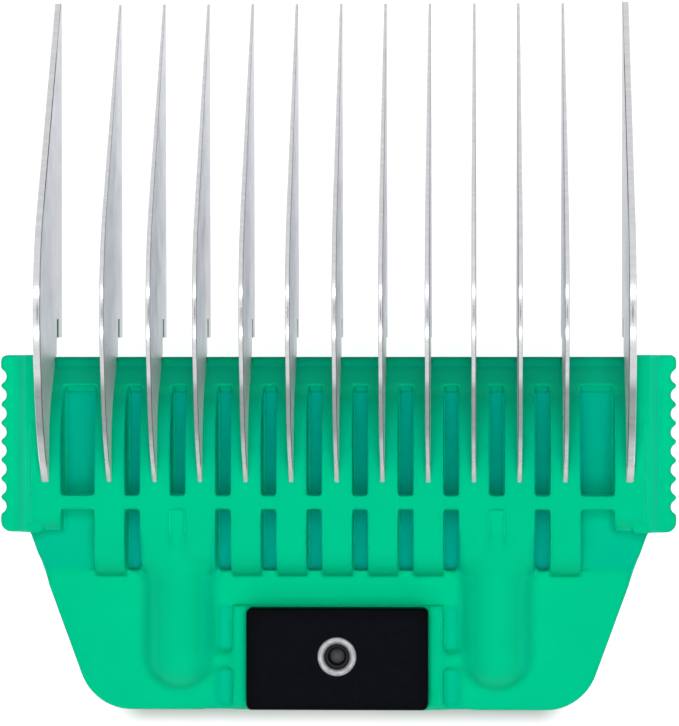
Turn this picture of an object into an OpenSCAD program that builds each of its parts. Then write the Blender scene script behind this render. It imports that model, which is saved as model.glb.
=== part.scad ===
// Clip-on guard comb for a detachable clipper blade: a moulded body with thirteen steel tines and a
// spring-loaded latch. It lies blade side down: +Z points to the skin side, +Y to the tips of the tines.
// Inside the modules y is measured from the rear edge; place() moves it to the middle of the length.

/* [Overall] */
// Length from the rear edge to the tips of the tines
total_l = 61.8; // [61.4:0.1:62.2]
// Width across the two serrated grips
grip_w = 58.2; // [58:0.1:58.6]
// Hair length left by the comb: height of the tine crests above the blade seat
guard_l = 13; // [12.4:0.1:13.6]

/* [Body plate] */
// Front edge of the body, measured from the rear edge
body_l = 30.5; // [30.4:0.05:30.7]
// Width of the body at the shoulders, where the slanted sides begin
shoulder_w = 53.5; // [53.4:0.1:53.8]
// Distance of the shoulders from the rear edge
shoulder_y = 15.4; // [15.3:0.05:15.5]
// Width at the rear edge, measured to the sharp corners before they are rounded
rear_w = 42.2; // [42:0.1:43]
// Radius of the two rear corners
rear_corner_r = 4.6; // [4.2:0.1:4.8]
// Height of the plate face between the latch and the ribs
plate_z = 7.6; // [7.5:0.05:7.7]
// Height of the floor between the ribs
floor_z = 5.8; // [5.6:0.05:6]
// Height of the shallow recesses beside the outer ribs
recess_z = 7.3; // [7.2:0.05:7.4]

/* [Blade seat] */
// Height of the face that the blade lies against
seat_z = 4.2; // [4.15:0.01:4.25]
// Width between the side walls of the seat
seat_w = 51.4; // [51.3:0.05:51.5]
// Thickness of the wall round the rear of the seat
skirt_t = 1.1; // [1:0.05:1.2]

/* [Ribs and grips] */
// Width of one rib
rib_w = 2.6; // [2.5:0.05:2.7]
// Height of the rib faces
rib_z = 10.4; // [10.2:0.05:10.6]
// Rear end of the eleven inner ribs
rib_y = 11.6; // [11.5:0.05:11.8]
// Rear end of the two outer ribs
outer_rib_y = 15.55; // [15.5:0.01:15.6]
// Height of the serrated grips at their outer edge
grip_z = 8.8; // [8.6:0.1:9]
// Depth of one serration
serration_d = 0.5; // [0.4:0.05:0.55]

/* [Tines] */
// How much shorter the inner tines are than the outer ones
inner_tine_cut = 0.1; // [0:0.05:0.4]
// Spacing of the eleven inner tines
tine_pitch = 3.91; // [3.88:0.01:3.94]
// Distance of the outer tines from the middle
outer_tine_x = 25.05; // [25:0.01:25.1]
// Thickness of an inner tine
tine_t = 0.4; // [0.35:0.01:0.5]
// Thickness of an outer tine
outer_tine_t = 0.66; // [0.6:0.01:0.7]

/* [Latch] */
// Width of the thumb block
block_w = 15.6; // [15.4:0.1:15.8]
// Length of the thumb block
block_l = 8.75; // [8.6:0.05:8.8]
// Distance of the rivet from the rear edge
rivet_y = 4.8; // [4.7:0.01:4.85]
// Radius of the rivet's shank
rivet_r = 1.05; // [1:0.01:1.1]
// How far the latch slides back to free the blade
latch_travel = 2; // [1.8:0.05:2.1]

/* [Hidden] */
TINE_COUNT = 13;
$fn = 64;
// overshoot of a cut past the face that it opens
eps = 1;
GREEN = [0, 0.78, 0.56];
STEEL = [0.75, 0.76, 0.79];
BLACK = [0.06, 0.06, 0.08];

// tine outline, as [y, z]
crest_y = 34.3;
crest_r = 14.5;
crest_c = [crest_y, seat_z + guard_l - crest_r];
tip_r = 0.25;
back_a = 18.7;
back_l = 2.65;
heel_r = 16;
heel_c = crest_c + (crest_r - heel_r) * [-sin(back_a), cos(back_a)] - back_l * [cos(back_a), sin(back_a)];
// rear end of a root, inside its rib
root_y = 19.45;
heel_a = asin((heel_c[0] - root_y) / heel_r);
// the hook that catches the tips of the blade's teeth
hook_y = 32.2;
hook_end_y = 33.8;
hook_z = 2.6;
root_z = 4.7;
root_step_y = body_l + 0.1;

// ribs, nose and crossbar
rib_round_r = 2.7;
outer_rib_round_r = 1.7;
nose_y = 22.6;
nose_r = 6.5;
nose_a = 47;
nose_end = [nose_y + nose_r * sin(nose_a), rib_z - nose_r * (1 - cos(nose_a))];
nose_front_z = nose_end[1] - (body_l - nose_end[0]) * tan(nose_a);
ramp_y = 27.45;
ramp_k = 2.9;
ramp_top_y = (nose_end[1] + nose_end[0] * tan(nose_a) - floor_z + ramp_k * ramp_y)
    / (ramp_k + tan(nose_a));
gap_y = 12.05;
bar_y = 17.4;
bar_t = 1.2;
bar_w = 48;

// serrated grips
grip_front = 0.15;
grip_corner_r = 0.9;
grip_flat_w = 1.4;
grip_ridge_z = 9.9;
serration_n = 8;
serration_y = 17.6;
serration_pitch = 1.6;
serration_r = 0.65;

// domes over the blade's two screw heads, and the pockets under them
dome_x = 3.5 * tine_pitch;
dome_y = 4.7;
dome_r = 3.05;
dome_z = 7;
pocket_r = 2.2;
pocket_z = 6;
pocket_end_y = 14.5;

// side wall of the seat, parallel to the slanted side of the body
side_k = (shoulder_w - rear_w) / 2 / shoulder_y;
skirt_x = rear_w / 2 - skirt_t * sqrt(1 + side_k * side_k);
skirt_end_y = (seat_w / 2 - skirt_x) / side_k;

// latch
slide_gap = 0.1;
catch_z = seat_z + 0.1;
catch_t = 1.2;
catch_top_z = catch_z + catch_t;
catch_w = 6.8;
catch_l = 9.9;
heel_wall_t = 1.1;
lip_l = 2.6;
lip_top_z = 2.1;
lip_bottom_z = 0.7;
lip_edge_t = 0.3;
ear_x = 6.3;
ear_l = 1.5;
ear_z = 6.15;
spacer_l = 2.6;
spacer_r = 1.5;
spacer_play = 0.05;
block_z = catch_top_z + spacer_l;
block_h = 2.2;
block_y = 0.2;
block_corner_r = 0.45;
block_bevel = 0.2;
block_bore_r = 2;
block_bore_d = 0.6;
web_play = 0.07;
frame_z = 8.4;
frame_w = 1.2;
frame_y = 0.3;
link_y = 3.7;
link_w = 1.3;
link_x = 11.5;
link_z = 8.05;
side_pocket_x = 10.5;
side_pocket_z = 7.1;
spring_x = 5.3;
spring_z = 5.3;
spring_r = 0.8;
wire_r = 0.15;
spring_turns = 6.5;
spring_y = 3.2;
spring_end_y = catch_l - ear_l;
channel_w = 2.2;
channel_z = 6.35;
rivet_head_r = 2.1;
rivet_head_t = 0.55;
rivet_fit = 0.02;
rivet_bore_r = 0.75;
rivet_bore_z = 8.9;
rim_r = 0.42;
rim_mid_r = 1.28;

// points of an arc; angles run from +z (or +y in plan) towards +y (or +x in plan)
function arc(c, r, a0, a1, n) = [for (i = [0:n]) let (a = a0 + (a1 - a0) * i / n) c + r * [sin(a), cos(a)]];
function unit(v) = v / norm(v);
// one corner of an outline, rounded to radius r
function corner(p0, p1, p2, r, n) =
    r == 0 ? [p1] :
    let (u = unit(p0 - p1), v = unit(p2 - p1), half = acos(u * v) / 2, c = p1 + unit(u + v) * r / sin(half),
         s = p1 + u * r / tan(half) - c, e = p1 + v * r / tan(half) - c,
         a0 = atan2(s[0], s[1]), turn = (atan2(e[0], e[1]) - a0 + 540) % 360 - 180)
    arc(c, r, a0, a0 + turn, n);
// outline from [x, y, corner radius] points
function rounded(p, n = 12) = [
    for (i = [0:len(p) - 1])
        let (a = p[(i + len(p) - 1) % len(p)], b = p[i], c = p[(i + 1) % len(p)])
        each corner([a[0], a[1]], [b[0], b[1]], [c[0], c[1]], b[2], n)
];

function tine_x(i) = i == 1 ? -outer_tine_x : i == TINE_COUNT ? outer_tine_x : (i - 7) * tine_pitch;
function is_outer(i) = i == 1 || i == TINE_COUNT;
function tine_thickness(i) = is_outer(i) ? outer_tine_t : tine_t;
function tine_l(i) = is_outer(i) ? total_l : total_l - inner_tine_cut;

// outline of a tine whose tip is at y = l
function tine_outline(l) =
    let (tip_c = [l - tip_r, tip_r], span = tip_c - crest_c,
         front_a = atan2(span[0], span[1]) - acos((crest_r - tip_r) / norm(span)))
    concat(
        arc(crest_c, crest_r, -back_a, front_a, 24),
        arc(tip_c, tip_r, front_a, 180, 6),
        [[hook_y, 0], [hook_y, hook_z], [hook_end_y, hook_z], [hook_end_y, seat_z],
         [root_step_y, seat_z], [root_step_y, root_z], [root_y, root_z]],
        arc(heel_c, heel_r, -heel_a, -back_a, 12));

module place() {
    translate([0, -total_l / 2, 0]) children();
}

module both_sides() {
    children();
    mirror([1, 0, 0]) children();
}

// extrudes a [y, z] outline to a width w, centred on x
module side_profile(points, w) {
    translate([-w / 2, 0, 0]) rotate([90, 0, 90]) linear_extrude(w) polygon(points);
}

module plan(w_rear, w_shoulder, y_rear, y_shoulder, y_front, r) {
    polygon(rounded([
        [-w_rear / 2, y_rear, r], [-w_shoulder / 2, y_shoulder, 0], [-w_shoulder / 2, y_front, 0],
        [w_shoulder / 2, y_front, 0], [w_shoulder / 2, y_shoulder, 0], [w_rear / 2, y_rear, r]]));
}

module body_plan() {
    plan(rear_w, shoulder_w, 0, shoulder_y, body_l, rear_corner_r);
}

// the part of the body's plan between two distances from the rear edge
module plan_slice(y0, y1) {
    intersection() {
        body_plan();
        translate([-grip_w / 2, y0]) square([grip_w, y1 - y0]);
    }
}

// shallow recesses outside the inner ribs, between the crossbar and the plate face
module side_recess_plan() {
    inner_x = tine_x(TINE_COUNT - 1);
    intersection() {
        plan_slice(gap_y - rib_w, bar_y);
        both_sides() translate([inner_x, 0]) square([grip_w / 2 - inner_x, bar_y]);
    }
}

module rib(x, y_rear, round_r) {
    round_c = [y_rear + round_r, rib_z - round_r];
    translate([x, 0, 0]) side_profile(concat(
        [[y_rear, seat_z]], arc(round_c, round_r, -90, 0, 10),
        arc([nose_y, rib_z - nose_r], nose_r, 0, nose_a, 12),
        [[body_l, nose_front_z], [body_l, seat_z]]), rib_w);
}

module ribs() {
    for (i = [2:TINE_COUNT - 1]) rib(tine_x(i), rib_y, rib_round_r);
    both_sides() rib(outer_tine_x, outer_rib_y, outer_rib_round_r);
}

module nose() {
    side_profile([
        [ramp_y, seat_z], [ramp_y, floor_z], [ramp_top_y, floor_z + ramp_k * (ramp_top_y - ramp_y)],
        [body_l, nose_front_z], [body_l, seat_z]], 2 * outer_tine_x);
}

module crossbar() {
    translate([-bar_w / 2, bar_y, seat_z]) cube([bar_w, bar_t, rib_z - seat_z]);
}

// one grip: a wall beside the seat with a serrated edge and a ridge along the outer tine
module grip() {
    inner_x = seat_w / 2;
    front_y = body_l + grip_front;
    difference() {
        linear_extrude(grip_ridge_z) polygon(rounded([
            [inner_x - 0.3, shoulder_y, 0], [inner_x - 0.3, front_y, 0],
            [grip_w / 2, front_y, 0.5], [grip_w / 2, shoulder_y, grip_corner_r]], 6));
        translate([0, -eps, 0]) rotate([-90, 0, 0]) linear_extrude(front_y + 2 * eps) polygon([
            [shoulder_w / 2, -grip_ridge_z], [grip_w / 2 - grip_flat_w, -grip_z],
            [grip_w / 2 + eps, -grip_z], [grip_w / 2 + eps, -grip_ridge_z - eps],
            [shoulder_w / 2, -grip_ridge_z - eps]]);
        for (i = [0:serration_n - 1])
            translate([grip_w / 2 + serration_r - serration_d, serration_y + i * serration_pitch, -eps])
                cylinder(h = grip_ridge_z + 2 * eps, r = serration_r);
    }
}

module dome() {
    translate([dome_x, dome_y, dome_z]) {
        sphere(r = dome_r);
        rotate([-90, 0, 0]) cylinder(h = bar_y + bar_t / 2 - dome_y, r = dome_r);
    }
}

module dome_pocket() {
    translate([dome_x, dome_y, 0]) {
        translate([0, 0, pocket_z]) {
            sphere(r = pocket_r);
            rotate([-90, 0, 0]) cylinder(h = pocket_end_y - dome_y, r = pocket_r);
        }
        translate([0, 0, seat_z - eps]) cylinder(h = pocket_z - seat_z + eps, r = pocket_r);
        translate([-pocket_r, 0, seat_z - eps])
            cube([2 * pocket_r, pocket_end_y - dome_y, pocket_z - seat_z + eps]);
    }
}

// raised bed under the thumb block, with guide strips and short links on both sides
module latch_bed() {
    bed_w = block_w + 2 * slide_gap;
    bed_l = block_y + block_l + slide_gap;
    translate([-bed_w / 2, 0, seat_z]) cube([bed_w, bed_l, block_z - web_play - seat_z]);
    both_sides() {
        translate([bed_w / 2, frame_y, seat_z]) cube([frame_w, bed_l - frame_y, frame_z - seat_z]);
        translate([bed_w / 2, link_y, seat_z]) cube([link_x - bed_w / 2, link_w, link_z - seat_z]);
    }
}

module side_pockets() {
    x0 = block_w / 2 + slide_gap + frame_w;
    bed_l = block_y + block_l + slide_gap;
    both_sides() for (span = [[frame_y, link_y], [link_y + link_w, bed_l]])
        translate([x0, span[0], side_pocket_z]) cube([side_pocket_x - x0, span[1] - span[0], eps]);
}

// room on the blade side for the catch, its ears and the two springs, and the rivet's slot in the web
module latch_room() {
    room_w = catch_w + 2 * slide_gap;
    ear_y = spring_end_y - latch_travel - slide_gap;
    room_l = catch_l + slide_gap;
    web_z = catch_top_z + web_play;
    translate([-room_w / 2, -eps, -eps]) cube([room_w, room_l + eps, web_z + eps]);
    translate([-ear_x - slide_gap, ear_y, 0]) cube([2 * (ear_x + slide_gap), room_l - ear_y, web_z]);
    both_sides() translate([spring_x - channel_w / 2, spring_y, 0])
        cube([channel_w, room_l - spring_y, channel_z]);
    slot_r = spacer_r + spacer_play;
    for (y = [rivet_y, rivet_y - latch_travel]) translate([0, y, 0]) cylinder(h = block_z, r = slot_r);
    translate([-slot_r, rivet_y - latch_travel, 0]) cube([2 * slot_r, latch_travel, block_z]);
}

module body() {
    color(GREEN) place() difference() {
        union() {
            linear_extrude(floor_z) body_plan();
            linear_extrude(recess_z) side_recess_plan();
            linear_extrude(plate_z) plan_slice(0, gap_y);
            nose();
            ribs();
            crossbar();
            both_sides() grip();
            both_sides() dome();
            latch_bed();
        }
        side_pockets();
        translate([0, 0, -eps]) linear_extrude(seat_z + eps)
            plan(2 * (skirt_x + side_k * skirt_t), seat_w, skirt_t, skirt_end_y, body_l + eps,
                 rear_corner_r - skirt_t);
        both_sides() dome_pocket();
        latch_room();
        for (i = [1:TINE_COUNT]) tine_solid(i);
    }
}

module tine_solid(i) {
    translate([tine_x(i), 0, 0]) side_profile(tine_outline(tine_l(i)), tine_thickness(i));
}

module tine(i) {
    color(STEEL) place() tine_solid(i);
}

module latch_block() {
    color(BLACK) place() difference() {
        translate([-block_w / 2, block_y, block_z]) {
            linear_extrude(block_h - block_bevel) block_plan(0);
            hull() {
                translate([0, 0, block_h - block_bevel]) linear_extrude(0.01) block_plan(0);
                translate([0, 0, block_h - 0.01]) linear_extrude(0.01) block_plan(block_bevel);
            }
        }
        translate([0, rivet_y, block_z + block_h - block_bore_d]) cylinder(h = eps, r = block_bore_r);
        translate([0, rivet_y, block_z - eps]) cylinder(h = block_h + eps, r = rivet_r + rivet_fit);
    }
}

// plan of the thumb block, set in by d all round
module block_plan(d) {
    polygon(rounded([
        [d, d, block_corner_r], [d, block_l - d, block_corner_r],
        [block_w - d, block_l - d, block_corner_r], [block_w - d, d, block_corner_r]], 6));
}

module catch_slide() {
    color(STEEL) place() difference() {
        union() {
            side_profile([
                [0, lip_bottom_z], [0, catch_top_z], [catch_l, catch_top_z], [catch_l, catch_z],
                [heel_wall_t, catch_z], [heel_wall_t, lip_top_z], [lip_l, lip_top_z],
                [lip_l, lip_top_z - lip_edge_t], [lip_l - lip_top_z + lip_edge_t + lip_bottom_z, lip_bottom_z]],
                catch_w);
            translate([-ear_x, spring_end_y, catch_z]) cube([2 * ear_x, ear_l, catch_t]);
            both_sides() translate([2 * spring_x - ear_x, spring_end_y, catch_z])
                cube([2 * (ear_x - spring_x), ear_l, ear_z - catch_z]);
        }
        translate([0, rivet_y, catch_z - eps]) cylinder(h = catch_t + 2 * eps, r = rivet_r + rivet_fit);
        translate([0, rivet_y, catch_z - eps])
            cylinder(h = eps + rivet_head_t + slide_gap, r = rivet_head_r + slide_gap);
    }
}

// semi-tubular rivet: flat head under the catch, hollow end rolled over in the block's counterbore
module latch_rivet() {
    head_z = catch_z + slide_gap;
    rim_z = block_z + block_h - block_bore_d;
    color(STEEL) place() translate([0, rivet_y, 0]) rotate_extrude() difference() {
        union() {
            translate([0, head_z]) square([rivet_head_r, rivet_head_t]);
            translate([0, head_z]) square([rivet_r, rim_z + rim_r - head_z]);
            translate([rim_mid_r, rim_z + rim_r]) circle(r = rim_r);
        }
        translate([0, rivet_bore_z]) square([rivet_bore_r, block_z + block_h]);
    }
}

module rivet_spacer() {
    color(STEEL) place() translate([0, rivet_y, catch_top_z]) difference() {
        cylinder(h = spacer_l, r = spacer_r);
        translate([0, 0, -eps]) cylinder(h = spacer_l + 2 * eps, r = rivet_r + rivet_fit);
    }
}

// compression spring: one wire swept round a helix along y
module spring(x) {
    sides = 8;
    rings = round(spring_turns * 16);
    end_gap = wire_r + 0.02;
    run = spring_end_y - spring_y - 2 * end_gap;
    rise = run / (spring_turns * 2 * PI * spring_r);
    points = [
        for (i = [0:rings])
            let (a = 360 * spring_turns * i / rings, e1 = [cos(a), 0, sin(a)],
                 e2 = unit(cross(unit([-sin(a), rise, cos(a)]), e1)),
                 c = [x, spring_y + end_gap + run * i / rings, spring_z] + spring_r * e1)
            for (k = [0:sides - 1]) c + wire_r * (cos(360 * k / sides) * e1 + sin(360 * k / sides) * e2)
    ];
    quads = [
        for (i = [0:rings - 1], k = [0:sides - 1])
            let (k2 = (k + 1) % sides)
            [i * sides + k, (i + 1) * sides + k, (i + 1) * sides + k2, i * sides + k2]
    ];
    caps = [[for (k = [0:sides - 1]) k], [for (k = [0:sides - 1]) rings * sides + sides - 1 - k]];
    color(STEEL) place() polyhedron(points, concat(quads, caps));
}

body();
for (i = [1:TINE_COUNT]) tine(i);
latch_block();
catch_slide();
latch_rivet();
rivet_spacer();
spring(-spring_x);  // spring_left
spring(spring_x);  // spring_right
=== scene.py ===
import math

import bmesh
import bpy
import numpy as np
from mathutils import Matrix, Vector


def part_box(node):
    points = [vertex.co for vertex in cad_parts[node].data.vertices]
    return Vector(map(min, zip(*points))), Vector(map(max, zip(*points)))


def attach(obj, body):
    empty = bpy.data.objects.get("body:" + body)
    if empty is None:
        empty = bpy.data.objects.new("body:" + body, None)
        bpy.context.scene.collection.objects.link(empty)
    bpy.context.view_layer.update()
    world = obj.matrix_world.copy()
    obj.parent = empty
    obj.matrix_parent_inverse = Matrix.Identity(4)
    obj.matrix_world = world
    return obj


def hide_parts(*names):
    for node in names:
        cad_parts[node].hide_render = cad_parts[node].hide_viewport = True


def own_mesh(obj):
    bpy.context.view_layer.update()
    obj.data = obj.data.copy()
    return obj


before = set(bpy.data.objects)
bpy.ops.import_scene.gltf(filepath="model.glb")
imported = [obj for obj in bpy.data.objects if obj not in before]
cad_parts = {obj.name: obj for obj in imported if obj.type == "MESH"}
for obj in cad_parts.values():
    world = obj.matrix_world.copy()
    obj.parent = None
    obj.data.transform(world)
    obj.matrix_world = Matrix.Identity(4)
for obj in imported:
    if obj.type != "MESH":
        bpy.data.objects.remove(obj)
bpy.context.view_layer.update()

MM = 0.001
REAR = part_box("body")[0].y
RIVET_Y = (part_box("rivet_spacer")[0].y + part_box("rivet_spacer")[1].y) / 2 / MM - REAR / MM
TINES = ["tine_%02d" % i for i in range(1, 14)]
# corners of the CAD mesh nearer than this are one corner
WELD = 0.0005 * MM

# ---------------------------------------------------------------- camera
# A long lens from almost straight above the skin side, a little towards +X.
VIEW_TILT = math.radians(2.08)
VIEW_DISTANCE = 0.340
LENS = 190.9
VIEW_CENTRE = Vector((-0.00015, -0.00094, 0.0))


def make_camera():
    """The camera of the photograph."""
    data = bpy.data.cameras.new("camera")
    data.lens = LENS
    data.sensor_width = 36.0
    data.clip_start, data.clip_end = 0.01, 5.0
    camera = bpy.data.objects.new("camera", data)
    bpy.context.scene.collection.objects.link(camera)
    back = Vector((math.sin(VIEW_TILT), 0.0, math.cos(VIEW_TILT)))
    camera.location = VIEW_CENTRE + back * VIEW_DISTANCE
    camera.rotation_euler = (0.0, VIEW_TILT, 0.0)
    bpy.context.scene.camera = camera


make_camera()


# ---------------------------------------------------------------- materials
def new_material(name):
    """A material, its node tree and its shader."""
    material = bpy.data.materials.new(name)
    material.use_nodes = True
    tree = material.node_tree
    return material, tree, tree.nodes["Principled BSDF"]


def add(tree, kind, inputs=None, **settings):
    """A shader node; a socket given as an input value is linked."""
    made = tree.nodes.new("ShaderNode" + kind)
    for key, value in settings.items():
        setattr(made, key, value)
    for key, value in (inputs or {}).items():
        if isinstance(value, bpy.types.NodeSocket):
            tree.links.new(value, made.inputs[key])
        else:
            made.inputs[key].default_value = value
    return made


def place(tree, scale=(1.0, 1.0, 1.0)):
    """Coordinates that move with the piece, stretched by scale."""
    source = add(tree, "TexCoord").outputs["Object"]
    return add(tree, "Mapping", {"Vector": source, "Scale": scale}).outputs["Vector"]


def noise(tree, vector, scale, detail=3.0, roughness=0.5):
    return add(tree, "TexNoise", {"Vector": vector, "Scale": scale, "Detail": detail,
                                  "Roughness": roughness}).outputs["Fac"]


def remap(tree, value, low, high, out_low, out_high):
    return add(tree, "MapRange", {"Value": value, "From Min": low, "From Max": high,
                                  "To Min": out_low, "To Max": out_high}).outputs["Result"]


def soft_step(tree, value, low, high, out_low, out_high):
    return add(tree, "MapRange", {"Value": value, "From Min": low, "From Max": high, "To Min": out_low,
                                  "To Max": out_high}, interpolation_type="SMOOTHSTEP").outputs["Result"]


def mix_float(tree, factor, a, b):
    """a where the factor is 0, b where it is 1."""
    made = add(tree, "Mix", data_type="FLOAT")
    for index, value in ((0, factor), (2, a), (3, b)):
        if isinstance(value, bpy.types.NodeSocket):
            tree.links.new(value, made.inputs[index])
        else:
            made.inputs[index].default_value = value
    return made.outputs[0]


def mix_colour(tree, factor, a, b, blend="MIX"):
    made = add(tree, "Mix", data_type="RGBA", blend_type=blend)
    for index, value in ((0, factor), (6, a), (7, b)):
        if isinstance(value, bpy.types.NodeSocket):
            tree.links.new(value, made.inputs[index])
        else:
            made.inputs[index].default_value = value
    return made.outputs[2]


def bump(tree, shader, height, strength, distance):
    made = add(tree, "Bump", {"Height": height, "Strength": strength, "Distance": distance})
    tree.links.new(made.outputs["Normal"], shader.inputs["Normal"])


def green_plastic():
    """Moulded green, with painted shade: bluer and darker in the depths of the gaps, deeper between the tines
    and on the nose, and darker on floors below the plate; painted light on the upright walls and the grip
    ramps.

    The zones are set by place on the comb: distances from the rear edge, from the middle and from the floor.
    """
    material, tree, shader = new_material("green_plastic")
    at = place(tree)
    where = add(tree, "SeparateXYZ", {"Vector": at}).outputs
    normal = add(tree, "SeparateXYZ", {"Vector": add(tree, "TexCoord").outputs["Normal"]}).outputs

    def both(a, b):
        return add(tree, "Math", {0: a, 1: b}, operation="MULTIPLY").outputs[0]

    def size_of(value):
        return add(tree, "Math", {0: value}, operation="ABSOLUTE").outputs[0]

    def from_rear(low, high, out_low, out_high):
        return soft_step(tree, where["Y"], REAR + low * MM, REAR + high * MM, out_low, out_high)

    aside = size_of(where["X"])
    behind_nose = from_rear(27.7, 28.4, 1.0, 0.0)
    between_grips = remap(tree, aside, 25.4 * MM, 26.0 * MM, 1.0, 0.0)
    raised = remap(tree, where["Z"], 7.4 * MM, 8.6 * MM, 0.0, 1.0)
    # painted shade: the rib tops between the tines and the nose are darker and bluer
    between_tines = both(from_rear(18.6, 23.2, 0.0, 1.0), mix_float(tree, behind_nose, 1.0, raised))
    painted_tine_shade = both(between_tines, between_grips)
    base = mix_colour(tree, painted_tine_shade, (0.0, 0.455, 0.215, 1.0), (0.0, 0.455, 0.240, 1.0))
    # painted shade: up-facing floors below the plate level are darker
    upward = both(remap(tree, normal["Z"], 0.5, 0.8, 0.0, 1.0), behind_nose)
    low = both(remap(tree, where["Z"], 7.35 * MM, 7.52 * MM, 1.0, 0.0), upward)
    base = mix_colour(tree, low, base, (0.0, 0.400, 0.225, 1.0))
    # painted shade: the floors of the gaps between the ribs are darker and bluer
    above_floor = remap(tree, where["Z"], 4.6 * MM, 5.2 * MM, 0.0, 1.0)
    in_gaps = both(both(from_rear(11.7, 12.1, 0.0, 1.0), behind_nose),
                   remap(tree, aside, 24.2 * MM, 24.5 * MM, 1.0, 0.0))
    height = both(remap(tree, where["Z"], 5.7 * MM, 7.0 * MM, 1.0, 0.0), above_floor)
    painted_depth_shade = both(height, in_gaps)
    inner = mix_colour(tree, from_rear(16.5, 18.8, 0.0, 1.0),
                       (0.0, 0.375, 0.310, 1.0), (0.0, 0.325, 0.262, 1.0))
    outer = remap(tree, aside, 20.8 * MM, 21.6 * MM, 0.0, 1.0)
    base = mix_colour(tree, painted_depth_shade, base, mix_colour(tree, outer, inner, (0.0, 0.325, 0.222, 1.0)))
    # painted shade: darkest between the tines, lighter on the nose and darker again at its front edge
    shade_level = both(from_rear(26.5, 28.6, 0.74, 0.84), from_rear(29.1, 30.4, 1.0, 0.68))
    level = mix_float(tree, painted_tine_shade, 1.0, shade_level)
    # painted light: the upright walls of the gaps and the ends of the ribs are brighter and bluer, less near
    # the rear edge
    upright = remap(tree, size_of(normal["X"]), 0.55, 0.95, 0.0, 1.0)
    ends = both(remap(tree, size_of(normal["Y"]), 0.82, 0.97, 0.0, 1.0), from_rear(12.0, 12.6, 0.0, 1.0))
    painted_wall_light = both(add(tree, "Math", {0: upright, 1: ends}, operation="MAXIMUM").outputs[0],
                 both(both(between_grips, behind_nose), above_floor))
    dome_flanks = remap(tree, aside, 17.0 * MM, 19.0 * MM, 0.5, 0.0)
    painted_wall_light = both(painted_wall_light, mix_float(tree, from_rear(11.2, 11.8, 0.0, 1.0), dome_flanks, 1.0))
    base = mix_colour(tree, painted_wall_light, base, (0.0, 0.400, 0.262, 1.0))
    level = both(level, mix_float(tree, painted_wall_light, 1.0, 1.75))
    # painted light: the sloping ramps beside the grips are brighter
    beside_rib = both(remap(tree, aside, 25.9 * MM, 26.2 * MM, 0.0, 1.0),
                      remap(tree, aside, 27.9 * MM, 28.3 * MM, 1.0, 0.0))
    painted_ramp_light = both(both(remap(tree, size_of(normal["X"]), 0.25, 0.60, 0.0, 1.0), beside_rib),
                     remap(tree, where["Z"], 8.5 * MM, 8.9 * MM, 0.0, 1.0))
    base = mix_colour(tree, painted_ramp_light, base, (0.0, 0.550, 0.284, 1.0))
    drift = remap(tree, noise(tree, at, 240.0, 4.0), 0.3, 0.7, 1.0, 0.955)
    base = add(tree, "VectorMath", {0: base, "Scale": both(level, drift)}, operation="SCALE").outputs[0]
    tree.links.new(base, shader.inputs["Base Color"])
    shader.inputs["Roughness"].default_value = 0.52
    shader.inputs["Specular IOR Level"].default_value = 0.09
    shader.inputs["Specular Tint"].default_value = (0.0, 0.8, 0.5, 1.0)
    grain = noise(tree, at, 5200.0, 3.0, 0.6)
    waves = noise(tree, at, 420.0, 2.0)
    swell = remap(tree, waves, 0.0, 1.0, 0.0, 5.0)
    relief = add(tree, "Math", {0: swell, 1: grain}, operation="ADD").outputs[0]
    bump(tree, shader, relief, 0.35, 0.006 * MM)
    return material


def steel(name, colour, side_roughness, edge_roughness, stretch, edge):
    """Sheet steel: faces of a colour, edges of a grey level, fine grinding lines and faint stains."""
    material, tree, shader = new_material(name)
    at = place(tree)
    facing = add(tree, "SeparateXYZ", {"Vector": add(tree, "TexCoord").outputs["Normal"]}).outputs["X"]
    across = add(tree, "Math", {0: facing}, operation="ABSOLUTE").outputs[0]
    side = remap(tree, across, 0.80, 0.97, 0.0, 1.0)
    cloud = noise(tree, at, 330.0, 5.0, 0.55)
    stain = remap(tree, cloud, 0.58, 0.75, 0.0, 1.0)
    clean = mix_colour(tree, side, (edge, edge, edge, 1.0), colour)
    lines = noise(tree, place(tree, stretch), 900.0, 4.0, 0.65)
    streaks = remap(tree, lines, 0.3, 0.7, 0.93, 1.06)
    base = mix_colour(tree, stain, clean, mix_colour(tree, 1.0, clean, (0.93, 0.925, 0.91, 1.0), "MULTIPLY"))
    base = add(tree, "VectorMath", {0: base, "Scale": streaks}, operation="SCALE").outputs[0]
    shader.inputs["Metallic"].default_value = 1.0
    rough = remap(tree, side, 0.0, 1.0, edge_roughness, side_roughness)
    extra = remap(tree, cloud, 0.3, 0.7, -0.05, 0.07)
    rough = add(tree, "Math", {0: rough, 1: extra}, operation="ADD").outputs[0]
    tree.links.new(rough, shader.inputs["Roughness"])
    bump(tree, shader, lines, 0.25, 0.004 * MM)
    return material, tree, shader, base, facing, side


def plain_steel(name, colour, roughness, edge):
    """Steel with the same finish all over."""
    material, tree, shader, base = steel(name, colour, roughness, roughness, (1.0, 1.0, 1.0), edge)[:4]
    tree.links.new(base, shader.inputs["Base Color"])
    return material


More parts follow.
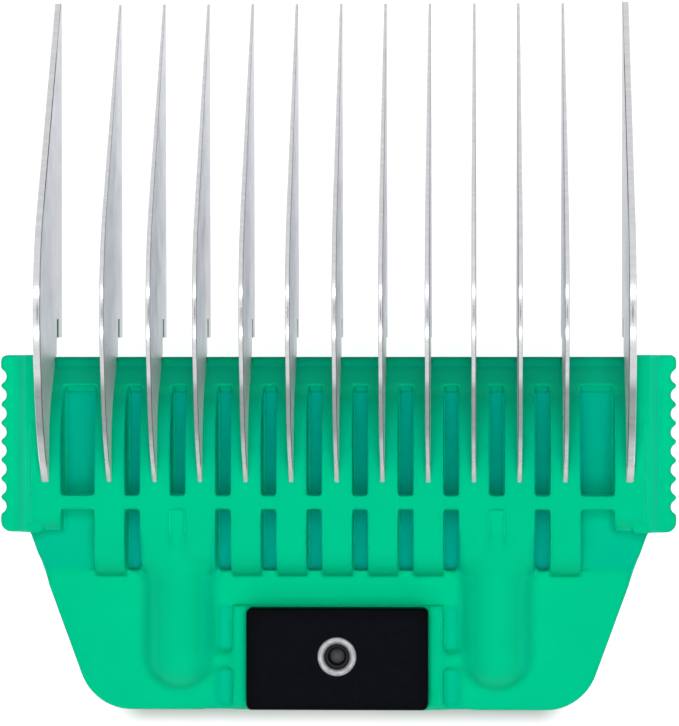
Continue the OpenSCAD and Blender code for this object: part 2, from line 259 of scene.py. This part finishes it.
def tine_steel():
    """The sheet steel of the tines: a painted dark reflection on the bevel beside the edge, painted shade low
    on the sides and on the edge near the root, painted light on the sides over the body, duller where it
    leaves the plastic.
    """
    material, tree, shader, base, facing, side = steel(
        "tine_steel", (0.69, 0.71, 0.755, 1.0), 0.44, 0.14, (0.25, 1.0, 4.0), 0.80)
    where = add(tree, "SeparateXYZ", {"Vector": place(tree)}).outputs

    def times(a, b):
        return add(tree, "Math", {0: a, 1: b}, operation="MULTIPLY").outputs[0]

    # painted reflection: a dark line on the bevel beside the edge, darkest on the outer tines from 42 to 58
    # mm and fainter over the body
    inward = remap(tree, where["X"], 12.0 * MM, 12.1 * MM, 1.0, -1.0)
    lean = times(facing, inward)
    painted_bevel_reflection = times(soft_step(tree, lean, 0.22, 0.40, 0.0, 1.0), soft_step(tree, lean, 0.80, 0.93, 1.0, 0.0))
    on_edge = remap(tree, side, 0.0, 1.0, 1.0, 0.0)

    def along(low, high, out_low, out_high):
        return soft_step(tree, where["Y"], REAR + low * MM, REAR + high * MM, out_low, out_high)

    outermost = remap(tree, add(tree, "Math", {0: where["X"]}, operation="ABSOLUTE").outputs[0],
                      24.0 * MM, 24.1 * MM, 0.0, 1.0)
    wedge = times(outermost, times(along(42.0, 44.5, 0.0, 1.0), along(55.5, 58.0, 1.0, 0.0)))
    over_body = along(28.5, 32.5, 1.0, 0.0)
    bevel_reflection_level = times(mix_float(tree, wedge, 0.38, 0.10), mix_float(tree, over_body, 1.0, 0.5))
    # painted shade and painted green reflection: the edge is darker and greener near the root
    painted_root_shade = times(along(27.4, 29.0, 1.0, 0.0), along(22.6, 24.6, 0.35, 1.0))
    # painted shade: the sides are darker low down and lighter high up, and painted light makes them lighter
    # over the body
    painted_depth_shade = remap(tree, where["Z"], 2.0 * MM, 17.0 * MM, 0.77, 1.16)
    painted_depth_shade = times(painted_depth_shade, mix_float(tree, outermost, 1.12, 1.0))
    face = mix_float(tree, over_body, painted_depth_shade, along(25.0, 29.0, 1.30, 1.02))
    level = times(mix_float(tree, painted_bevel_reflection, 1.0, bevel_reflection_level), mix_float(tree, times(painted_root_shade, on_edge), 1.0, 0.52))
    base = add(tree, "VectorMath", {0: base, "Scale": times(level, mix_float(tree, side, 1.0, face))},
               operation="SCALE").outputs[0]
    # painted light: the sides over the green body are warmer
    base = mix_colour(tree, times(side, over_body), base,
                      mix_colour(tree, 1.0, base, (1.02, 0.955, 0.915, 1.0), "MULTIPLY"))
    base = mix_colour(tree, times(painted_root_shade, on_edge), base,
                      mix_colour(tree, 1.0, base, (0.95, 1.04, 1.01, 1.0), "MULTIPLY"))
    # painted reflection: the edge of the heel is a flat grey, and it is not metallic
    heel = times(along(20.5, 21.9, 1.0, 0.0), on_edge)
    base = mix_colour(tree, heel, base, (0.54, 0.53, 0.53, 1.0))
    tree.links.new(base, shader.inputs["Base Color"])
    dull = times(side, times(over_body, along(24.0, 28.5, 0.95, 0.80)))
    dull = add(tree, "Math", {0: dull, 1: times(heel, 0.95)}, operation="MAXIMUM").outputs[0]
    tree.links.new(mix_float(tree, dull, 1.0, 0.0), shader.inputs["Metallic"])
    return material


def rivet_steel():
    """Bright rolled rim with worn patches and painted shade towards the bore and at its outer edge, with a
    dark bore of painted shade.
    """
    material, tree, shader = new_material("rivet_steel")
    at = place(tree)
    from_axis = add(tree, "VectorMath", {0: at, 1: (0.0, REAR + RIVET_Y * MM, 0.0)}, operation="SUBTRACT")
    flat = add(tree, "VectorMath", {0: from_axis.outputs[0], 1: (1.0, 1.0, 0.0)}, operation="MULTIPLY")
    radius = add(tree, "VectorMath", {0: flat.outputs[0]}, operation="LENGTH").outputs["Value"]
    bore = remap(tree, radius, 0.90 * MM, 0.99 * MM, 1.0, 0.0)
    wear = remap(tree, noise(tree, at, 2600.0, 4.0, 0.6), 0.35, 0.7, 0.0, 1.0)
    rim = mix_colour(tree, wear, (0.58, 0.59, 0.60, 1.0), (0.40, 0.40, 0.40, 1.0))
    # painted shade: the rolled rim darkens towards the bore and at its outer edge
    inner = soft_step(tree, radius, 0.96 * MM, 1.50 * MM, 0.20, 1.0)
    outer = soft_step(tree, radius, 1.58 * MM, 1.72 * MM, 1.0, 0.45)
    level = add(tree, "Math", {0: inner, 1: outer}, operation="MULTIPLY").outputs[0]
    rim = add(tree, "VectorMath", {0: rim, "Scale": level}, operation="SCALE").outputs[0]
    # painted shade: the bore is dark, darkest in a ring round its floor
    floor = soft_step(tree, radius, 0.56 * MM, 0.68 * MM, 0.0, 1.0)
    painted_bore_shade = mix_colour(tree, floor, (0.125, 0.125, 0.14, 1.0), (0.045, 0.045, 0.05, 1.0))
    tree.links.new(mix_colour(tree, bore, rim, painted_bore_shade), shader.inputs["Base Color"])
    shader.inputs["Metallic"].default_value = 1.0
    tree.links.new(remap(tree, bore, 0.0, 1.0, 0.30, 0.55), shader.inputs["Roughness"])
    bump(tree, shader, noise(tree, at, 3800.0, 3.0, 0.6), 0.4, 0.02 * MM)
    return material


def black_plastic():
    """Black moulded plastic, grained, with painted shade on faces that do not face up and towards the borders
    of the thumb block.
    """
    material, tree, shader = new_material("black_plastic")
    at = place(tree)
    grain = noise(tree, at, 4200.0, 3.0, 0.6)
    tone = remap(tree, grain, 0.3, 0.7, 0.0, 1.0)
    base = mix_colour(tree, tone, (0.0005, 0.0007, 0.0020, 1.0), (0.0020, 0.0024, 0.0042, 1.0))
    up = add(tree, "SeparateXYZ", {"Vector": add(tree, "TexCoord").outputs["Normal"]}).outputs["Z"]
    where = add(tree, "SeparateXYZ", {"Vector": at}).outputs
    aside = add(tree, "Math", {0: where["X"]}, operation="ABSOLUTE").outputs[0]
    # painted shade: darker on faces that do not face up and towards the borders of the block
    painted_block_shade = remap(tree, up, 0.75, 0.98, 0.25, 1.0)
    for soft in (soft_step(tree, aside, 6.4 * MM, 7.6 * MM, 1.0, 0.55),
                 soft_step(tree, where["Y"], REAR + 7.5 * MM, REAR + 8.7 * MM, 1.0, 0.55),
                 soft_step(tree, where["Y"], REAR + 0.3 * MM, REAR + 1.1 * MM, 0.55, 1.0)):
        painted_block_shade = add(tree, "Math", {0: painted_block_shade, 1: soft}, operation="MULTIPLY").outputs[0]
    base = add(tree, "VectorMath", {0: base, "Scale": painted_block_shade}, operation="SCALE").outputs[0]
    tree.links.new(base, shader.inputs["Base Color"])
    shader.inputs["Roughness"].default_value = 0.55
    shader.inputs["Specular IOR Level"].default_value = 0.045
    bump(tree, shader, grain, 0.5, 0.01 * MM)
    return material


GREEN = green_plastic()
TINE_STEEL = tine_steel()
LATCH_STEEL = plain_steel("latch_steel", (0.62, 0.63, 0.64, 1.0), 0.30, 0.55)
SPRING_STEEL = plain_steel("spring_steel", (0.66, 0.66, 0.67, 1.0), 0.25, 0.62)
RIVET_STEEL = rivet_steel()
BLACK = black_plastic()


# ---------------------------------------------------------------- pieces
def finish_piece(name, mesh, material, body, slot, *nodes):
    """Turns a mesh in the shared frame into a piece that stands for CAD nodes."""
    piece = bpy.data.objects.new(name, mesh)
    bpy.context.scene.collection.objects.link(piece)
    mesh.materials.clear()
    mesh.materials.append(material)
    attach(piece, body)
    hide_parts(*nodes)
    return piece


def mesh_from(bm, name):
    """A mesh with the content of bm, which is freed."""
    mesh = bpy.data.meshes.new(name)
    bm.to_mesh(mesh)
    bm.free()
    return mesh


def modified(mesh, *steps):
    """The mesh after modifiers, each given as (type, settings)."""
    holder = bpy.data.objects.new("holder", mesh)
    bpy.context.scene.collection.objects.link(holder)
    for kind, settings in steps:
        modifier = holder.modifiers.new(kind, kind)
        for key, value in settings.items():
            setattr(modifier, key, value)
    graph = bpy.context.evaluated_depsgraph_get()
    made = bpy.data.meshes.new_from_object(holder.evaluated_get(graph))
    bpy.data.objects.remove(holder)
    return made


def shade(mesh):
    """Smooth shading all over; the bevels keep the edges crisp."""
    mesh.polygons.foreach_set("use_smooth", [True] * len(mesh.polygons))
    return mesh


WEIGHTED = ("WEIGHTED_NORMAL", {"keep_sharp": True, "weight": 60})


def arc(centre, radius, start, end, steps):
    """Points (y, z) of an arc; angles in degrees run from +Z towards +Y."""
    turn = [math.radians(start + (end - start) * k / steps) for k in range(steps + 1)]
    return [(centre[0] + radius * math.sin(a), centre[1] + radius * math.cos(a)) for a in turn]


def extruded(bm, outline, x, width):
    """Adds a closed prism: an outline of (y, z) in mm from the rear edge, of a width centred on x in mm."""
    rows = [[bm.verts.new(((x + side * width / 2) * MM, REAR + y * MM, z * MM)) for y, z in outline]
            for side in (-1, 1)]
    count = len(outline)
    faces = [bm.faces.new(rows[0]), bm.faces.new(rows[1][::-1])]
    faces += [bm.faces.new((rows[0][k], rows[1][k], rows[1][(k + 1) % count], rows[0][(k + 1) % count]))
              for k in range(count)]
    return faces


# tine outline, in mm
SEAT_Z = 4.2
CREST = (34.3, 2.7)
CREST_R = 14.5
TIP_R = 0.25
BACK_A = 18.7
BACK_L = 2.65
HEEL_R = 16.0
ROOT_Y = 19.45
ROOT_Z = 4.7
ROOT_STEP_Y = 30.6
HOOK_Y = 32.2
HOOK_END_Y = 33.8
HOOK_Z = 2.6
# length of the thinner tip
TAPER_L = 9.5


def tine_outline(length):
    """Crest, tip, hook notch, root and heel of a tine of a length, as points (y, z) in mm."""
    a = math.radians(BACK_A)
    heel = (CREST[0] - (CREST_R - HEEL_R) * math.sin(a) - BACK_L * math.cos(a),
            CREST[1] + (CREST_R - HEEL_R) * math.cos(a) - BACK_L * math.sin(a))
    heel_a = math.degrees(math.asin((heel[0] - ROOT_Y) / HEEL_R))
    tip = (length - TIP_R, TIP_R)
    span = (tip[0] - CREST[0], tip[1] - CREST[1])
    front = math.degrees(math.atan2(*span) - math.acos((CREST_R - TIP_R) / math.hypot(*span)))
    return (arc(CREST, CREST_R, -BACK_A, front, 56) + arc(tip, TIP_R, front, 180, 8)
            + [(HOOK_Y, 0.0), (HOOK_Y, HOOK_Z), (HOOK_END_Y, HOOK_Z), (HOOK_END_Y, SEAT_Z),
               (ROOT_STEP_Y, SEAT_Z), (ROOT_STEP_Y, ROOT_Z), (ROOT_Y, ROOT_Z)]
            + arc(heel, HEEL_R, -heel_a, -BACK_A, 30))


def taper(bm, x, tip_y, loss):
    """Thins a tine towards its tip."""
    for vert in bm.verts:
        t = max(0.0, 1 - (tip_y - vert.co.y) / (TAPER_L * MM))
        vert.co.x = x + (vert.co.x - x) * (1 - loss * t * t * (3 - 2 * t))


# bevel of the rims and loss of thickness at the tip, for inner and outer tines
THIN_TINE = 0.5
INNER_RIM, INNER_LOSS = 0.085, 0.35
OUTER_RIM, OUTER_LOSS = 0.11, 0.08


def make_tine(name):
    """A tine with bevelled rims, thinner towards its tip."""
    low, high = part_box(name)
    thick = (high.x - low.x) / MM
    bm = bmesh.new()
    faces = extruded(bm, tine_outline((high.y - REAR) / MM), (low.x + high.x) / 2 / MM, thick)
    bmesh.ops.recalc_face_normals(bm, faces=bm.faces)
    rims = [e for f in faces[:2] for e in f.edges]
    rim, loss = (INNER_RIM, INNER_LOSS) if thick < THIN_TINE else (OUTER_RIM, OUTER_LOSS)
    bmesh.ops.bevel(bm, geom=rims, offset=rim * MM, offset_type="OFFSET",
                    segments=3, profile=0.5, affect="EDGES", clamp_overlap=True)
    taper(bm, (low.x + high.x) / 2, high.y, loss)
    mesh = modified(shade(mesh_from(bm, name)), WEIGHTED)
    return finish_piece("steel_" + name, mesh, TINE_STEEL, "comb", "tine_steel", name)


# rib outline, in mm
RIB_Z = 10.4
NOSE_Y = 22.6
NOSE_R = 6.5
NOSE_A = 47.0
BODY_L = 30.5


def rib_core(y_rear, round_r, inset):
    """Outline of a rib, set in all round; it fills the slot that the tine is moulded into."""
    a = math.radians(NOSE_A)
    end = (NOSE_Y + NOSE_R * math.sin(a), RIB_Z - NOSE_R * (1 - math.cos(a)))
    front_z = end[1] - (BODY_L - end[0]) * math.tan(a)
    return ([(y_rear + inset, SEAT_Z + inset)]
            + arc((y_rear + round_r, RIB_Z - round_r), round_r - inset, -90, 0, 10)
            + arc((NOSE_Y, RIB_Z - NOSE_R), NOSE_R - inset, 0, NOSE_A, 16)
            + [(BODY_L - inset, front_z - inset * 0.4), (BODY_L - inset, SEAT_Z + inset)])


def relax(mesh, weights, rounds):
    """Moves each vertex towards the mean of its neighbours by its weight, round after round."""
    count = len(mesh.vertices)
    co = np.empty(count * 3)
    mesh.vertices.foreach_get("co", co)
    co = co.reshape(-1, 3)
    edges = np.empty(len(mesh.edges) * 2, np.int64)
    mesh.edges.foreach_get("vertices", edges)
    a, b = edges.reshape(-1, 2).T
    pull = weights(co)
    a, b = np.concatenate([a, b]), np.concatenate([b, a])
    a, b = a[pull[a] > 0], b[pull[a] > 0]
    moved, local = np.unique(a, return_inverse=True)
    degree = np.bincount(local).astype(float)
    pull = pull[moved][:, None]
    for _ in range(rounds):
        mean = np.stack([np.bincount(local, co[b, k]) for k in range(3)], 1) / degree[:, None]
        co[moved] += pull * (mean - co[moved])
    mesh.vertices.foreach_set("co", co.ravel())
    mesh.update()


def step(value, low, high):
    """0 below low, 1 above high, with a smooth rise between."""
    t = np.clip((value - low) / (high - low), 0.0, 1.0)
    return t * t * (3 - 2 * t)


# distance of a dome's axis from the middle, in mm
DOME_X = 13.685


def soft_spots(co):
    """Weights for the domes and for the shallow steps: recesses, side pockets, guide strips and bed."""
    x, y, z = np.abs(co[:, 0]) / MM, (co[:, 1] - REAR) / MM, co[:, 2] / MM
    beside = 1 - step(np.abs(x - DOME_X), 3.5, 4.4)
    dome = beside * step(y, 0.4, 1.0) * (1 - step(y, 14.0, 16.0)) * step(z, 6.6, 7.0)
    recess = step(x, 21.4, 21.8) * step(y, 10.8, 11.4) * (1 - step(y, 12.8, 13.4)) * (1 - step(z, 7.8, 8.2))
    pocket = step(x, 9.0, 9.25) * (1 - step(x, 11.2, 11.8)) * (1 - step(y, 9.4, 9.8)) * step(z, 6.7, 6.95)
    strip = step(x, 7.85, 8.0) * (1 - step(x, 9.2, 9.4)) * (1 - step(y, 9.4, 9.8)) * step(z, 8.12, 8.25)
    bed = (1 - step(x, 9.2, 9.8)) * step(y, 9.12, 9.32) * (1 - step(y, 10.4, 10.8)) * step(z, 7.0, 7.2)
    return 0.5 * np.clip(dome + bed + 0.7 * (recess + pocket) + 0.4 * strip, 0.0, 1.0)


def everywhere(co):
    """Equal weights for all edges of the moulding."""
    return np.full(len(co), 0.5)


# rear end and rounding of the ribs, how far a rib's core is set in, and how far it reaches past the tine
INNER_RIB = (11.6, 2.7)
OUTER_RIB = (15.55, 1.7)
CORE_INSET = 0.04
CORE_MARGIN = 0.5
# soft edges of the moulding: cells of the remesh in mm, rounds of smoothing, triangles that are left
CELL = 0.13
EDGE_ROUNDS = 4
SHALLOW_ROUNDS = 70
BODY_TRIANGLES = 185000


def make_body():
    """The CAD body with its rib slots filled round the tines, remeshed with soft edges."""
    bm = bmesh.new()
    bm.from_mesh(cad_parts["body"].data)
    bmesh.ops.remove_doubles(bm, verts=bm.verts, dist=WELD)
    for name in TINES:
        low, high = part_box(name)
        outline = rib_core(*(OUTER_RIB if name in (TINES[0], TINES[-1]) else INNER_RIB), CORE_INSET)
        extruded(bm, outline, (low.x + high.x) / 2 / MM, (high.x - low.x) / MM + CORE_MARGIN)
    bmesh.ops.recalc_face_normals(bm, faces=bm.faces)
    rough = modified(mesh_from(bm, "body_rough"), ("REMESH", {"mode": "VOXEL", "voxel_size": CELL * MM}))
    relax(rough, everywhere, EDGE_ROUNDS)
    relax(rough, soft_spots, SHALLOW_ROUNDS)
    triangles = 2 * len(rough.polygons)
    mesh = modified(rough, ("DECIMATE", {"ratio": min(1.0, BODY_TRIANGLES / triangles)}))
    return finish_piece("moulded_body", shade(mesh), GREEN, "comb", "body_plastic", "body")


# latch, in mm
BLOCK_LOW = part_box("latch_block")[0].z / MM
BLOCK_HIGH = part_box("latch_block")[1].z / MM
BLOCK_CORNER_R = 0.5
BLOCK_TOP_R = 0.32
COUNTERBORE_R, COUNTERBORE_DEPTH = 2.0, 0.6
SHANK_HOLE_R = 1.08


def tube(bm, x, y, radius, z0, z1, steps=64):
    """Adds a closed upright cylinder, in mm."""
    made = bmesh.ops.create_cone(bm, cap_ends=True, segments=steps, radius1=radius * MM, radius2=radius * MM,
                                 depth=(z1 - z0) * MM,
                                 matrix=Matrix.Translation((x * MM, REAR + y * MM, (z0 + z1) / 2 * MM)))
    return made["verts"]


def cutter(*cylinders):
    """A helper object that holds upright cylinders to cut away."""
    bm = bmesh.new()
    for values in cylinders:
        tube(bm, *values)
    piece = bpy.data.objects.new("cutter", mesh_from(bm, "cutter"))
    bpy.context.scene.collection.objects.link(piece)
    return piece


def make_block():
    """The thumb block, with rounded edges and a counterbore for the rivet."""
    bm = bmesh.new()
    low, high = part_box("latch_block")
    centre = (low + high) / 2
    size = Matrix.Diagonal((*(high - low), 1.0))
    bmesh.ops.create_cube(bm, size=1.0, matrix=Matrix.Translation(centre) @ size)
    upright = [e for e in bm.edges if abs((e.verts[0].co - e.verts[1].co).z) > MM]
    bmesh.ops.bevel(bm, geom=upright, offset=BLOCK_CORNER_R * MM, segments=6, profile=0.5, affect="EDGES")
    top = [e for e in bm.edges if all(v.co.z > BLOCK_HIGH * MM - 1e-7 for v in e.verts)]
    bmesh.ops.bevel(bm, geom=top, offset=BLOCK_TOP_R * MM, segments=5, profile=0.5, affect="EDGES")
    bores = cutter((0.0, RIVET_Y, COUNTERBORE_R, BLOCK_HIGH - COUNTERBORE_DEPTH, BLOCK_HIGH + 1),
                   (0.0, RIVET_Y, SHANK_HOLE_R, BLOCK_LOW - 1, BLOCK_HIGH))
    mesh = modified(mesh_from(bm, "block"),
                    ("BOOLEAN", {"object": bores, "operation": "DIFFERENCE", "solver": "EXACT"}),
                    ("BEVEL", {"width": 0.08 * MM, "segments": 3, "limit_method": "ANGLE",
                               "angle_limit": math.radians(50)}))
    bpy.data.objects.remove(bores)
    mesh = modified(shade(mesh), WEIGHTED)
    return finish_piece("thumb_block", mesh, BLACK, "latch", "block_plastic", "latch_block")


def turned(name, profile, steps=72):
    """A closed piece turned about the rivet's axis from (radius, z) points in mm."""
    bm = bmesh.new()
    rows = []
    for radius, z in profile:
        if radius < 1e-6:
            rows.append([bm.verts.new((0.0, REAR + RIVET_Y * MM, z * MM))])
        else:
            rows.append([bm.verts.new((radius * MM * math.cos(2 * math.pi * k / steps),
                                       REAR + RIVET_Y * MM + radius * MM * math.sin(2 * math.pi * k / steps),
                                       z * MM)) for k in range(steps)])
    closed = len(rows[0]) > 1
    for a, b in zip(rows, rows[1:] + rows[:1] if closed else rows[1:]):
        for k in range(steps):
            near = [a[k % len(a)], a[(k + 1) % len(a)], b[(k + 1) % len(b)], b[k % len(b)]]
            bm.faces.new(list(dict.fromkeys(near)))
    bmesh.ops.recalc_face_normals(bm, faces=bm.faces)
    return mesh_from(bm, name)


def make_rivet():
    """A semi-tubular rivet: flat head below, rolled rim and short bore above."""
    low, high = (v.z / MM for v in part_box("latch_rivet"))
    rim_r, rim_mid = 0.39, 1.36
    rim_z = high - rim_r
    flare = [(rim_mid + rim_r * math.sin(a), rim_z - rim_r * math.cos(a))
             for a in (math.radians(20 + 300 * k / 26) for k in range(27))]
    profile = ([(0.0, low), (1.92, low), (2.04, low + 0.05), (2.1, low + 0.16), (2.1, low + 0.40),
                (2.04, low + 0.51), (1.92, low + 0.55), (1.05, low + 0.55), (1.05, rim_z - 0.45)]
               + flare + [(0.84, rim_z - 0.25), (0.75, rim_z - 0.4), (0.73, 9.15), (0.66, 9.02), (0.0, 8.95)])
    mesh = modified(shade(turned("rivet", profile)), WEIGHTED)
    return finish_piece("rolled_rivet", mesh, RIVET_STEEL, "latch", "latch_steel", "latch_rivet")


def make_spacer():
    """The tube on the rivet's shank."""
    low, high = (v.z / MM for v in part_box("rivet_spacer"))
    profile = [(1.07, low), (1.42, low), (1.5, low + 0.08), (1.5, high - 0.08), (1.42, high), (1.07, high)]
    mesh = modified(shade(turned("spacer", profile)), WEIGHTED)
    return finish_piece("spacer_sleeve", mesh, LATCH_STEEL, "latch", "latch_steel", "rivet_spacer")


def make_catch():
    """The CAD catch with its edges broken."""
    bm = bmesh.new()
    bm.from_mesh(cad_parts["catch_slide"].data)
    bmesh.ops.remove_doubles(bm, verts=bm.verts, dist=WELD)
    bmesh.ops.dissolve_limit(bm, angle_limit=math.radians(0.5), verts=bm.verts, edges=bm.edges)
    mesh = modified(shade(mesh_from(bm, "catch")),
                    ("BEVEL", {"width": 0.09 * MM, "segments": 3, "limit_method": "ANGLE",
                               "angle_limit": math.radians(30)}), WEIGHTED)
    return finish_piece("sliding_catch", mesh, LATCH_STEEL, "latch", "latch_steel", "catch_slide")


def make_spring(name):
    """A wound wire with a closed coil at each end."""
    low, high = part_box(name)
    wire, sides, per_turn, turns = 0.15 * MM, 12, 28, 7.5
    x, z = (low.x + high.x) / 2, (low.z + high.z) / 2
    radius = (high.z - low.z) / 2 - wire
    y0, y1 = low.y + wire, high.y - wire
    count = int(per_turn * turns)
    lead = [1.0 if per_turn < k < count - per_turn else 0.42 for k in range(count)]
    total = sum(lead)
    along = Vector((0.0, 1.0, 0.0))
    bm = bmesh.new()
    rings, run = [], 0.0
    for k in range(count + 1):
        angle = 2 * math.pi * k / per_turn
        out = Vector((math.cos(angle), 0.0, math.sin(angle)))
        centre = Vector((x, y0 + (y1 - y0) * run / total, z)) + out * radius
        rings.append([bm.verts.new(centre + wire * (math.cos(t) * out + math.sin(t) * along))
                      for t in (2 * math.pi * s / sides for s in range(sides))])
        run += lead[k] if k < count else 0.0
    for a, b in zip(rings, rings[1:]):
        for s in range(sides):
            bm.faces.new((a[s], b[s], b[(s + 1) % sides], a[(s + 1) % sides]))
    bm.faces.new(rings[0])
    bm.faces.new(rings[-1][::-1])
    bmesh.ops.recalc_face_normals(bm, faces=bm.faces)
    mesh = shade(mesh_from(bm, name))
    piece = finish_piece("coil_" + name, mesh, SPRING_STEEL, "comb", "spring_wire", name)
    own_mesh(piece)
    return piece


make_body()
for tine in TINES:
    make_tine(tine)
make_block()
make_rivet()
make_spacer()
make_catch()
make_spring("spring_left")
make_spring("spring_right")


# ---------------------------------------------------------------- floor and lights
FLOOR_GLOW = 0.85
FLOOR_WHITE = 0.35
SKY = 0.85
FILL_POWER = 1.6
KEY_POWER = 1.2
TOP_POWER = 3.4
STRIP_POWER = 0.20


def make_floor():
    """A white floor, just below the comb, that glows like a light table."""
    bm = bmesh.new()
    bmesh.ops.create_grid(bm, x_segments=1, y_segments=1, size=2.0)
    floor = bpy.data.objects.new("floor", mesh_from(bm, "floor"))
    bpy.context.scene.collection.objects.link(floor)
    material, tree, shader = new_material("floor_white")
    shader.inputs["Base Color"].default_value = (FLOOR_WHITE, FLOOR_WHITE, FLOOR_WHITE, 1.0)
    shader.inputs["Roughness"].default_value = 0.9
    shader.inputs["Specular IOR Level"].default_value = 0.0
    shader.inputs["Emission Color"].default_value = (1.0, 1.0, 1.0, 1.0)
    # a painted contact shadow in the glow along the rear edge
    where = add(tree, "SeparateXYZ", {"Vector": place(tree)})
    behind = add(tree, "Math", {0: where.outputs["Y"], 1: REAR}, operation="SUBTRACT").outputs[0]
    behind = add(tree, "Math", {0: behind}, operation="ABSOLUTE").outputs[0]
    aside = add(tree, "Math", {0: where.outputs["X"]}, operation="ABSOLUTE").outputs[0]
    near = soft_step(tree, behind, 0.2 * MM, 2.8 * MM, 0.82, 0.0)
    within = soft_step(tree, aside, 17.0 * MM, 21.0 * MM, 1.0, 0.0)
    painted_shadow = add(tree, "Math", {0: near, 1: within}, operation="MULTIPLY").outputs[0]
    tree.links.new(remap(tree, painted_shadow, 0.0, 1.0, FLOOR_GLOW, 0.0), shader.inputs["Emission Strength"])
    floor.location.z = -0.02 * MM
    floor.data.materials.append(material)


def area_light(name, azimuth, lean, distance, size, power, glossy=True):
    """A soft box aimed at the comb: lean is its angle from straight up, azimuth where it leans to from +X."""
    data = bpy.data.lights.new(name, "AREA")
    data.shape = "RECTANGLE"
    data.size, data.size_y = size
    data.energy = power
    light = bpy.data.objects.new(name, data)
    a, t = math.radians(azimuth), math.radians(lean)
    target = Vector((0.0, 3.4 * MM, 14.0 * MM))
    towards = Vector((math.sin(t) * math.cos(a), math.sin(t) * math.sin(a), math.cos(t)))
    light.location = target + distance * towards
    light.rotation_euler = (target - light.location).to_track_quat("-Z", "Y").to_euler()
    light.visible_glossy = glossy
    bpy.context.scene.collection.objects.link(light)


def make_lights():
    """Soft light from above, two thin strips for the shine of the tines, and a pale world to reflect."""
    world = bpy.data.worlds.new("studio")
    world.use_nodes = True
    tree = world.node_tree
    up = add(tree, "SeparateXYZ", {"Vector": add(tree, "TexCoord").outputs["Generated"]}).outputs["Z"]
    ramp = add(tree, "ValToRGB", {"Fac": up})
    stops = ((0.0, 0.90), (0.992, 1.0), (0.9975, 0.25), (1.0, 0.22))
    for at, level in stops[1:-1]:
        ramp.color_ramp.elements.new(at)
    for element, (at, level) in zip(ramp.color_ramp.elements, stops):
        element.position = at
        element.color = (level, level * 1.005, level * 1.03, 1.0)
    background = tree.nodes["Background"]
    tree.links.new(ramp.outputs["Color"], background.inputs["Color"])
    background.inputs["Strength"].default_value = SKY
    world.cycles_visibility.diffuse = False
    bpy.context.scene.world = world
    area_light("fill", 0.0, 0.0, 0.9, (1.6, 1.6), FILL_POWER, glossy=False)
    area_light("key_rear", -90.0, 35.0, 0.6, (0.7, 0.4), KEY_POWER, glossy=False)
    area_light("top", 0.0, 2.0, 0.6, (0.5, 0.3), TOP_POWER, glossy=False)
    area_light("strip_rear", -90.0, 14.0, 0.5, (0.6, 0.045), STRIP_POWER)
    area_light("strip_front", 90.0, 14.0, 0.5, (0.6, 0.045), STRIP_POWER)


make_floor()
make_lights()
bpy.context.scene.view_settings.view_transform = "Standard"
